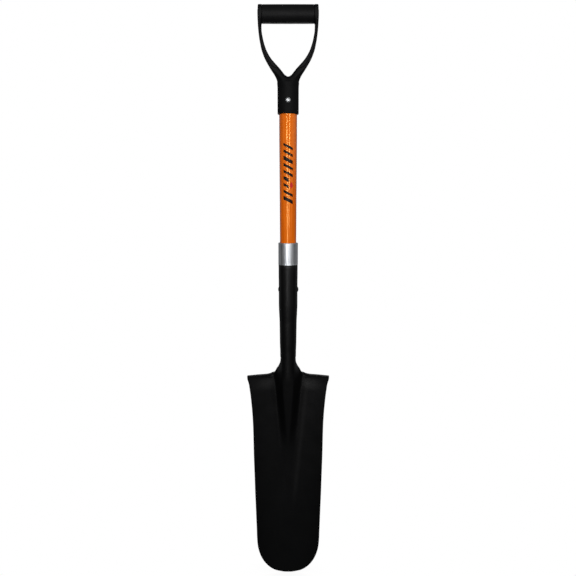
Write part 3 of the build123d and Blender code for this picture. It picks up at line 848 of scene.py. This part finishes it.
def rivet(tail_r, tail_h, tail_seat, tail_rim, shank_r, head_r, head_h, head_seat, head_rim):
    """Profile of a rivet, tail at the bottom: each end has a short edge and a dome."""
    out, up, down = (1.0, 0), (0, 1.0), (0, -1.0)
    points, normals = dome(tail_r, tail_h, tail_seat - tail_rim, -1)
    for radius, z, normal in (
            (tail_r, tail_seat - tail_rim, out), (tail_r, tail_seat, out),
            (tail_r, tail_seat, up), (shank_r, tail_seat, up),
            (shank_r, tail_seat, out), (shank_r, head_seat, out),
            (shank_r, head_seat, down), (head_r, head_seat, down),
            (head_r, head_seat, out), (head_r, head_seat + head_rim, out)):
        points.append(np.array([radius, z]))
        normals.append(np.array(normal))
    head_points, head_normals = dome(head_r, head_h, head_seat + head_rim, 1)
    return np.array(points + head_points), np.array(normals + head_normals)


HANDLE_SEAT = HANDLE_R - 0.55
SOCKET_SEAT = float(look_up(SOCKET_R, SOCKET_RIVET_Z)) + 0.02 - 0.12
WASHER_R0, WASHER_R1 = 2.48, 5.0
WASHER_Y0, WASHER_Y1 = HANDLE_SEAT + 0.02, HANDLE_SEAT + 0.98

# the head is in front, the tail and its washer at the back
handle_rivet = lathe("handle_rivet_headed", rivet(
    tail_r=3.7, tail_h=0.8, tail_seat=-HANDLE_SEAT - 1.0, tail_rim=0.3, shank_r=2.4,
    head_r=4.3, head_h=1.4, head_seat=HANDLE_SEAT, head_rim=0.7), 72, "-Y", HANDLE_RIVET_Z)
washer = lathe("rivet_washer", rounded_profile([
    (WASHER_R0, WASHER_Y0, 0), (WASHER_R1, WASHER_Y0, 0.15), (WASHER_R1, WASHER_Y1, 0.3),
    (WASHER_R0, WASHER_Y1, 0.1), (WASHER_R0, WASHER_Y0, 0)]), 72, "Y", HANDLE_RIVET_Z)
# the head is on the right
socket_rivet = lathe("socket_rivet_headed", rivet(
    tail_r=4.0, tail_h=0.9, tail_seat=-SOCKET_SEAT, tail_rim=0.32, shank_r=2.9,
    head_r=4.6, head_h=1.4, head_seat=SOCKET_SEAT, head_rim=0.42), 72, "X", SOCKET_RIVET_Z)

# ------------------------------------------------------------------ printed mark on the shaft
INK_TOP, INK_FOOT = 0.07, 0.01  # the film's two faces, above the shaft
BAR_COUNT, BAR_Z0, BAR_PITCH = 9, 716.0, 11.4
BAR_REACH, BAR_DROP = 8.6, 4.4  # half length round the shaft, half fall from left to right
SHORT_BARS, SHORT_END = (2, 3), 1.0  # cut short to the left of the diamond
DIAMOND = [(5.8, 735.0), (9.6, 741.2), (5.8, 747.4), (2.0, 741.2)]


def wrapped(name, shapes):
    """Thin ink film round the shaft's front; a shape is four anticlockwise (arc, height)."""
    verts, normals, faces = [], [], []
    for shape in shapes:
        a, b, c, d = (np.array(q, float) for q in shape)
        nu = max(3, int(np.linalg.norm(b - a) / 0.5))
        nv = max(2, int(np.linalg.norm(d - a) / 0.7))
        start, width = len(verts), nu + 1
        layer_size = width * (nv + 1)
        for lift, facing in ((INK_TOP, 1), (INK_FOOT, -1)):
            for j in range(nv + 1):
                for i in range(nu + 1):
                    u, v = i / nu, j / nv
                    arc, z = (a * (1 - u) + b * u) * (1 - v) + (d * (1 - u) + c * u) * v
                    radius = float(shaft_r(z))
                    out = np.array([math.sin(arc / radius), -math.cos(arc / radius), 0])
                    verts.append(out * (radius + lift) + [0, 0, z])
                    normals.append(out * facing)
        for quad in grid_quads(nv + 1, width, start):
            faces += [quad, [quad[k] + layer_size for k in (0, 3, 2, 1)]]
        rim = list(range(nu)) + [j * width + nu for j in range(nv)]
        rim += [nv * width + i for i in range(nu, 0, -1)] + [j * width for j in range(nv, 0, -1)]
        for p, q in zip(rim, rim[1:] + rim[:1]):
            p, q = start + p, start + q
            faces.append([p, p + layer_size, q + layer_size, q])
    return make_mesh(name, verts, faces, normals)


def slanted_bar(k):
    z = BAR_Z0 + BAR_PITCH * k
    half_thick = (6.4 if k % 3 == 0 else 4.6) / 2
    end = SHORT_END if k in SHORT_BARS else BAR_REACH
    low, high = z - BAR_DROP * end / BAR_REACH, z + BAR_DROP
    return [(-BAR_REACH, high - half_thick), (end, low - half_thick),
            (end, low + half_thick), (-BAR_REACH, high + half_thick)]


print_bars = wrapped("shaft_print_bars", [slanted_bar(k) for k in range(BAR_COUNT)])
print_diamond = wrapped("shaft_print_diamond", [DIAMOND])


# ------------------------------------------------------------------ materials
class Tree:
    """Short calls for adding and wiring shader nodes."""

    def __init__(self, tree):
        self.tree = tree

    def put(self, socket, value):
        if isinstance(value, bpy.types.NodeSocket):
            self.tree.links.new(value, socket)
        else:
            socket.default_value = value

    def add(self, kind, inputs=None, **settings):
        node = self.tree.nodes.new("ShaderNode" + kind)
        for key, value in settings.items():
            setattr(node, key, value)
        for key, value in (inputs or {}).items():
            self.put(node.inputs[key], value)
        return node

    def remap(self, value, start=(0.3, 0.7), to=(0, 1), smooth=False):
        """Carries the range start to the range to; the default start suits a noise."""
        inputs = {"Value": value, "From Min": start[0], "From Max": start[1],
                  "To Min": to[0], "To Max": to[1]}
        kind = "SMOOTHSTEP" if smooth else "LINEAR"
        return self.add("MapRange", inputs, interpolation_type=kind).outputs["Result"]

    def math(self, operation, a, b=0.0):
        return self.add("Math", {0: a, 1: b}, operation=operation).outputs[0]

    def times(self, a, b):
        return self.math("MULTIPLY", a, b)

    def split(self, vector):
        return self.add("SeparateXYZ", {0: vector}).outputs


class Material(Tree):
    def __init__(self, name):
        self.material = bpy.data.materials.new(name)
        self.material.use_nodes = True
        super().__init__(self.material.node_tree)
        self.coord = self.add("TexCoord").outputs["Object"]

    def find(self, kind):
        return next(node for node in self.tree.nodes if node.type == kind)

    def scaled(self, z_scale):
        """Coordinates that draw a pattern out along Z when z_scale is below 1."""
        return self.add("Mapping", {"Scale": (1, 1, z_scale), "Vector": self.coord}).outputs[0]

    def noise(self, scale, seed, detail=4, rough=0.6, z_scale=None):
        vector = self.scaled(z_scale) if z_scale else self.coord
        inputs = {"Scale": scale, "Detail": detail, "Roughness": rough, "W": seed,
                  "Vector": vector}
        return self.add("TexNoise", inputs, noise_dimensions="4D").outputs["Fac"]

    def mix(self, factor, a, b):
        a, b = ((*c, 1) if isinstance(c, tuple) else c for c in (a, b))
        return self.add("Mix", {"Factor": factor, 6: a, 7: b}, data_type="RGBA").outputs[2]

    def bump(self, height, distance, strength, over=None):
        inputs = {"Strength": strength, "Distance": distance, "Height": height}
        if over is not None:
            inputs["Normal"] = over
        return self.add("Bump", inputs).outputs["Normal"]

    def normal(self):
        return self.add("NewGeometry").outputs["Normal"]

    def edge(self, radius, low, high):
        """1 on convex or concave edges, 0 on the flat."""
        bevel = self.add("Bevel", {"Radius": radius}, samples=4).outputs["Normal"]
        dot = self.add("VectorMath", {0: bevel, 1: self.normal()}, operation="DOT_PRODUCT")
        return self.remap(dot.outputs["Value"], (high, low), smooth=True)

    def finish(self, color, rough, normal, **others):
        shader = self.find("BSDF_PRINCIPLED")
        inputs = {"Base Color": color, "Roughness": rough, "Normal": normal, **others}
        for key, value in inputs.items():
            self.put(shader.inputs[key.replace("_", " ")], value)
        return self.material


def black_paint():
    mat = Material("black_painted_steel")
    blotch = mat.noise(scale=16, detail=5, seed=1.3)
    color = mat.mix(mat.remap(blotch), (0.0015, 0.0015, 0.0017), (0.0025, 0.0024, 0.0026))
    # dusty streaks running down the blade
    streak = mat.noise(scale=60, detail=6, z_scale=0.12, seed=2.0)
    color = mat.mix(mat.remap(streak, (0.56, 0.8), to=(0, 0.5)), color, (0.0046, 0.0044, 0.0046))
    # a painted highlight on the right wing beside the rib, standing in for light caught along the
    # rib's edge, dying out below the rib's tip
    pos = mat.split(mat.coord)
    line = mat.math("ADD", mat.times(pos["Z"], 0.1016), -0.0035)
    off_line = mat.math("ABSOLUTE", mat.math("SUBTRACT", pos["X"], line))
    painted_highlight = mat.times(mat.remap(off_line, (0.0, 0.0068), to=(1, 0), smooth=True),
                    mat.remap(pos["Z"], (0.12, 0.19), smooth=True))
    painted_highlight = mat.times(painted_highlight, mat.remap(pos["Z"], (0.335, 0.388), to=(1, 0.15), smooth=True))
    # on the front only
    painted_highlight = mat.times(painted_highlight, mat.remap(mat.split(mat.normal())["Y"], (-0.7, -0.3), to=(1, 0)))
    painted_highlight = mat.times(painted_highlight, mat.remap(mat.noise(scale=90, seed=8.0), (0.3, 0.6), to=(0.65, 1)))
    color = mat.mix(painted_highlight, color, (0.0072, 0.0070, 0.0072))
    chips = mat.noise(scale=180, detail=5, rough=0.7, seed=4.0)
    wear = mat.times(mat.edge(radius=0.0012, low=0.90, high=0.995),
                     mat.remap(chips, (0.50, 0.62)))
    color = mat.mix(mat.times(wear, 0.35), color, (0.045, 0.043, 0.041))
    rough = mat.remap(mat.noise(scale=35, detail=5, seed=3.0), to=(0.35, 0.43))
    rough = mat.math("ADD", rough, mat.times(wear, 0.1))
    # the tops of the steps are scuffed matt
    tread = mat.times(mat.remap(pos["Z"], (0.3845, 0.3868), smooth=True),
                      mat.remap(mat.math("ABSOLUTE", pos["X"]), (0.027, 0.034), smooth=True))
    rough = mat.math("ADD", rough, mat.times(tread, 0.25))
    gloss = mat.times(mat.math("SUBTRACT", 1.0, mat.times(tread, 0.7)), 0.24)
    peel = mat.noise(scale=650, detail=2, rough=0.5, seed=5.0)
    waves = mat.noise(scale=55, detail=3, rough=0.5, seed=6.0)
    normal = mat.bump(peel, distance=0.00012, strength=0.35)
    normal = mat.bump(waves, distance=0.0006, strength=0.25, over=normal)
    return mat.finish(color, rough, normal, Specular_IOR_Level=gloss)


def orange_glass():
    mat = Material("orange_fibreglass")
    fine = mat.noise(scale=900, z_scale=0.02, seed=1.0)
    broad = mat.noise(scale=40, detail=3, rough=0.5, z_scale=0.25, seed=2.0)
    color = mat.mix(mat.remap(fine, (0.35, 0.65)), (0.66, 0.110, 0.0020), (0.88, 0.165, 0.0030))
    color = mat.mix(mat.remap(broad, (0.35, 0.7), to=(0, 0.35)), color, (0.60, 0.088, 0.0020))
    chips = mat.noise(scale=300, rough=0.7, seed=7.0)
    wear = mat.times(mat.edge(radius=0.0008, low=0.93, high=0.995),
                     mat.remap(chips, (0.45, 0.6)))
    color = mat.mix(mat.times(wear, 0.5), color, (0.75, 0.5, 0.25))
    rough = mat.remap(mat.noise(scale=70, z_scale=0.3, seed=3.0), to=(0.17, 0.24))
    waves = mat.noise(scale=120, detail=2, rough=0.5, z_scale=0.1, seed=5.0)
    normal = mat.bump(fine, distance=0.00004, strength=0.04)
    normal = mat.bump(waves, distance=0.0002, strength=0.015, over=normal)
    return mat.finish(color, rough, normal, Specular_IOR_Level=0.75,
                      Specular_Tint=(1.0, 0.70, 0.22, 1.0), Coat_Weight=0.05,
                      Coat_Roughness=0.09, Coat_IOR=1.48, Coat_Tint=(1.0, 0.93, 0.8, 1.0))


def bright_steel():
    mat = Material("bright_steel")
    draw = mat.noise(scale=700, detail=5, rough=0.65, z_scale=0.03, seed=1.0)
    cloud = mat.noise(scale=90, detail=5, seed=2.0)
    color = mat.mix(mat.remap(draw), (0.46, 0.48, 0.505), (0.76, 0.775, 0.80))
    color = mat.mix(mat.remap(cloud, (0.5, 0.75), to=(0, 0.4)), color, (0.42, 0.445, 0.48))
    edge = mat.edge(radius=0.0006, low=0.9, high=0.99)
    color = mat.mix(mat.times(edge, 0.5), color, (0.82, 0.83, 0.84))
    rough = mat.remap(mat.noise(scale=260, z_scale=0.15, seed=3.0), to=(0.37, 0.46))
    waves = mat.noise(scale=60, detail=2, rough=0.5, z_scale=0.3, seed=5.0)
    normal = mat.bump(draw, distance=0.00005, strength=0.45)
    normal = mat.bump(waves, distance=0.0003, strength=0.06, over=normal)
    return mat.finish(color, rough, normal, Metallic=1.0)


def zinc():
    mat = Material("zinc_steel")
    cloud = mat.noise(scale=500, seed=1.0)
    color = mat.mix(mat.remap(cloud), (0.34, 0.35, 0.36), (0.50, 0.51, 0.52))
    edge = mat.edge(radius=0.0004, low=0.9, high=0.99)
    color = mat.mix(mat.times(edge, 0.5), color, (0.85, 0.85, 0.85))
    rough = mat.remap(mat.noise(scale=900, detail=3, seed=2.0), to=(0.36, 0.46))
    grain = mat.noise(scale=1500, detail=3, seed=3.0)
    normal = mat.bump(grain, distance=0.00003, strength=0.15)
    return mat.finish(color, rough, normal, Metallic=1.0)


def black_rivet():
    mat = Material("black_painted_rivet")
    cloud = mat.noise(scale=300, seed=1.0)
    color = mat.mix(mat.remap(cloud), (0.003, 0.003, 0.0034), (0.006, 0.006, 0.0062))
    chips = mat.noise(scale=700, rough=0.7, seed=5.0)
    wear = mat.times(mat.edge(radius=0.0007, low=0.85, high=0.99),
                     mat.remap(chips, (0.48, 0.62)))
    color = mat.mix(mat.times(wear, 0.5), color, (0.06, 0.058, 0.055))
    rough = mat.remap(mat.noise(scale=400, detail=3, rough=0.5, seed=2.0), to=(0.32, 0.45))
    peel = mat.noise(scale=900, detail=2, rough=0.5, seed=3.0)
    normal = mat.bump(peel, distance=0.00008, strength=0.3)
    return mat.finish(color, rough, normal, Specular_IOR_Level=0.42)


def moulded(name, dark, light, rough_range, grain, depth, specular, painted_sheen_faces=False):
    """Moulded plastic; grain is the scale of its pitting and depth the height of it."""
    mat = Material(name)
    color = mat.mix(mat.remap(mat.noise(scale=45, detail=5, seed=1.0)), dark, light)
    if painted_sheen_faces:
        # painted sheen: the flat faces of the arms are painted paler, standing in for the light
        # they catch, with a speckled grain
        facing = mat.math("ABSOLUTE", mat.split(mat.normal())["Y"])
        flat = mat.remap(facing, (0.78, 0.93), smooth=True)
        height = mat.split(mat.coord)["Z"]
        flat = mat.times(flat, mat.remap(height, (0.920, 0.938), smooth=True))
        speckle = mat.noise(scale=900, detail=3, seed=9.0)
        flat = mat.times(flat, mat.remap(speckle, (0.3, 0.6), to=(0.6, 1)))
        color = mat.mix(flat, color, (0.0100, 0.0100, 0.0104))
    scuff = mat.noise(scale=220, detail=6, rough=0.75, z_scale=0.5, seed=2.0)
    scuff = mat.remap(scuff, (0.60, 0.78), to=(0, 0.4))
    color = mat.mix(scuff, color, tuple(c * 2.2 for c in light))
    patches = mat.noise(scale=260, seed=4.0)
    wear = mat.times(mat.edge(radius=0.0011, low=0.88, high=0.99),
                     mat.remap(patches, (0.35, 0.65), to=(0.2, 1)))
    color = mat.mix(mat.times(wear, 0.35), color, tuple(c * 3.2 for c in light))
    rough = mat.remap(mat.noise(scale=60, seed=3.0), to=rough_range)
    rough = mat.math("SUBTRACT", rough, mat.times(wear, 0.08))
    pits = mat.add("TexVoronoi", {"Scale": grain, "Vector": mat.coord}, feature="SMOOTH_F1")
    waves = mat.noise(scale=80, detail=3, rough=0.5, seed=5.0)
    normal = mat.bump(pits.outputs["Distance"], distance=depth, strength=0.35)
    normal = mat.bump(waves, distance=0.0004, strength=0.15, over=normal)
    return mat.finish(color, rough, normal, Specular_IOR_Level=specular)


def ink(name, dark, light):
    mat = Material(name)
    patch = mat.noise(scale=500, detail=5, rough=0.7, seed=1.0)
    color = mat.mix(mat.remap(patch), dark, light)
    edge = mat.edge(radius=0.0005, low=0.9, high=0.99)
    # specks where the orange shows through
    specks = mat.noise(scale=900, rough=0.7, seed=3.0)
    specks = mat.times(mat.remap(specks, (0.62, 0.72), to=(0, 0.7)), 1.0)
    color = mat.mix(specks, color, (0.45, 0.12, 0.01))
    color = mat.mix(mat.times(edge, 0.2), color, light)
    rough = mat.remap(mat.noise(scale=400, detail=3, rough=0.5, seed=2.0), to=(0.30, 0.42))
    normal = mat.bump(patch, distance=0.00003, strength=0.3)
    return mat.finish(color, rough, normal, Specular_IOR_Level=0.12)


def wood():
    mat = Material("core_wood")
    rings = mat.add("TexWave", {"Scale": 160.0, "Distortion": 3.0, "Detail": 3.0,
                                "Detail Scale": 1.5, "Vector": mat.scaled(0.08)},
                    wave_type="RINGS", rings_direction="Z")
    fibre = mat.noise(scale=1400, z_scale=0.02, seed=2.0)
    color = mat.mix(rings.outputs["Fac"], (0.48, 0.30, 0.15), (0.34, 0.18, 0.08))
    color = mat.mix(mat.remap(fibre, (0.45, 0.7), to=(0, 0.5)), color, (0.26, 0.14, 0.06))
    edge = mat.edge(radius=0.0006, low=0.9, high=0.99)
    color = mat.mix(mat.times(edge, 0.4), color, (0.2, 0.11, 0.05))
    rough = mat.remap(fibre, to=(0.6, 0.8))
    return mat.finish(color, rough, mat.bump(fibre, distance=0.0002, strength=0.4))


paint_m, orange_m, steel_m = black_paint(), orange_glass(), bright_steel()
zinc_m, rivet_m, wood_m = zinc(), black_rivet(), wood()
yoke_m = moulded("black_poly", dark=(0.0028, 0.0028, 0.0031), light=(0.0044, 0.0044, 0.0047),
                 rough_range=(0.50, 0.60), grain=1300, depth=0.00010, specular=0.055,
                 painted_sheen_faces=True)
grip_m = moulded("grip_poly", dark=(0.0042, 0.0042, 0.0045), light=(0.0060, 0.0060, 0.0063),
                 rough_range=(0.42, 0.52), grain=1700, depth=0.00008, specular=0.085)
dark_ink = ink("printed_transfer_dark", dark=(0.006, 0.003, 0.002), light=(0.014, 0.007, 0.004))
red_ink = ink("printed_transfer_red", dark=(0.50, 0.020, 0.016), light=(0.62, 0.04, 0.03))

# piece, material, slot name, the CAD node it replaces
for piece, material, slot_name, node in (
        (blade, paint_m, "black_painted_steel", "blade_and_socket"),
        (collar, steel_m, "bright_steel", "socket_collar"),
        (socket_rivet, rivet_m, "black_painted_rivet", "socket_rivet"),
        (shaft, orange_m, "orange_fibreglass", "shaft_tube"),
        (print_bars, dark_ink, "printed_transfer", "shaft_decal"),
        (print_diamond, red_ink, "printed_transfer", "shaft_decal"),
        (yoke, yoke_m, "black_poly", "d_handle_yoke"),
        (grip, grip_m, "grip_poly", "grip_sleeve"),
        (handle_rivet, zinc_m, "zinc_steel", "handle_rivet"),
        (washer, zinc_m, "zinc_steel", "handle_rivet_washer")):
    piece.data.materials.append(material)
    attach(piece, "root")
    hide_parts(node)

for node in ("lower_core_dowel", "upper_core_dowel"):
    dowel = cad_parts[node]
    for slot in dowel.material_slots:
        slot.material = wood_m

# ------------------------------------------------------------------ studio
scene = bpy.context.scene
scene.view_settings.view_transform = "Standard"
scene.view_settings.look = "None"
scene.view_settings.exposure = 0.0
scene.view_settings.gamma = 1.0

# name, degrees round from the front (+ to the right), distance, bottom z, top z, width, radiance
STRIPS = [("key_strip", -17, 1.15, 0.41, 1.66, 0.085, 23.8),
          ("second_strip", 22, 1.15, 0.555, 1.66, 0.075, 25.0),
          ("side_right", 92, 1.3, 0.64, 1.35, 0.35, 0.6),
          ("back_soft", 180, 1.6, -0.1, 1.5, 0.5, 2.4),
          ("fill_left", -58, 1.5, 0.3, 1.6, 0.6, 0.40),
          ("fill_right", 58, 1.5, 0.3, 1.6, 0.6, 0.75)]


def strip_light(name, azimuth, distance, z0, z1, width, radiance):
    """Upright rectangular light that faces the Z axis."""
    angle = math.radians(azimuth)
    place = Vector((math.sin(angle) * distance, -math.cos(angle) * distance, (z0 + z1) / 2))
    light = bpy.data.lights.new(name, "AREA")
    light.shape = "RECTANGLE"
    light.size, light.size_y = width, z1 - z0
    light.energy = radiance * math.pi * width * (z1 - z0)
    ob = bpy.data.objects.new(name, light)
    ob.location = place
    ob.rotation_euler = Vector((-place.x, -place.y, 0)).to_track_quat("-Z", "Z").to_euler()
    ob.visible_camera = False
    scene.collection.objects.link(ob)


def build_world():
    """White to the camera, a dim shaded room to everything else."""
    world = bpy.data.worlds.new("studio")
    scene.world = world
    world.use_nodes = True
    world.node_tree.nodes.clear()
    tree = Tree(world.node_tree)
    ray = tree.split(tree.add("TexCoord").outputs["Generated"])

    def step(value, start, to):
        return tree.remap(value, start, to, smooth=True)

    overhead = step(ray["Z"], (0.1, 0.9), (0.0, 0.09))
    behind = tree.times(step(ray["Y"], (0.05, 0.35), (0.0, 0.30)),
                        step(ray["Y"], (0.45, 0.85), (1.0, 0.12)))
    behind = tree.times(behind, step(ray["Z"], (0.12, 0.45), (1.0, 0.1)))
    level = tree.math("ADD", tree.math("ADD", overhead, behind), 0.02)
    level = tree.times(level, step(ray["Z"], (-0.6, 0.0), (0.25, 1.0)))
    # light thrown back by the floor in front of and behind the spade
    glow = tree.times(step(tree.math("ABSOLUTE", ray["X"]), (0.28, 0.6), (0.085, 0.0)),
                      tree.math("ADD", step(ray["Y"], (-0.2, 0.0), (1.0, 0.0)),
                                step(ray["Y"], (0.3, 0.7), (0.0, 1.4))))
    glow = tree.times(glow, step(ray["Z"], (-0.22, -0.04), (1.0, 0.0)))
    level = tree.math("ADD", level, glow)
    room = tree.add("Background", {"Color": (0.96, 0.98, 1.0, 1), "Strength": level})
    white = tree.add("Background", {"Color": (1, 1, 1, 1), "Strength": 1.0})
    seen = tree.add("LightPath").outputs["Is Camera Ray"]
    mixed = tree.add("MixShader", {0: seen, 1: room.outputs[0], 2: white.outputs[0]})
    tree.add("OutputWorld", {"Surface": mixed.outputs[0]})


def build_floor():
    """Pale floor that runs into the backdrop, with a faint shade close to the object."""
    half, z = 6, -0.0006
    mesh = bpy.data.meshes.new("studio_floor")
    mesh.from_pydata([(-half, -half, z), (half, -half, z), (half, half, z), (-half, half, z)],
                     [], [(0, 1, 2, 3)])
    floor = bpy.data.objects.new("studio_floor", mesh)
    scene.collection.objects.link(floor)
    mat = Material("floor_white")
    for unused in (mat.find("BSDF_PRINCIPLED"), mat.find("TEX_COORD")):
        mat.tree.nodes.remove(unused)
    shade = mat.add("AmbientOcclusion", {"Distance": 0.05}, samples=8).outputs["AO"]
    glow = mat.add("Emission", {"Color": mat.mix(shade, (0.90, 0.90, 0.90), (1, 1, 1))})
    mat.put(mat.find("OUTPUT_MATERIAL").inputs["Surface"], glow.outputs[0])
    mesh.materials.append(mat.material)
    for flag in ("visible_diffuse", "visible_glossy", "visible_transmission", "visible_shadow"):
        setattr(floor, flag, False)


def build_camera():
    lens = bpy.data.cameras.new("camera")
    lens.lens, lens.sensor_width = 37.5, 36.0
    lens.shift_x = -0.00020833
    lens.clip_start, lens.clip_end = 0.01, 50
    camera = bpy.data.objects.new("camera", lens)
    camera.location = (0, -1.075, 0.72803)
    camera.rotation_euler = (math.radians(81.0), 0, 0)
    scene.collection.objects.link(camera)
    scene.camera = camera


for strip in STRIPS:
    strip_light(*strip)
build_world()
build_floor()
build_camera()
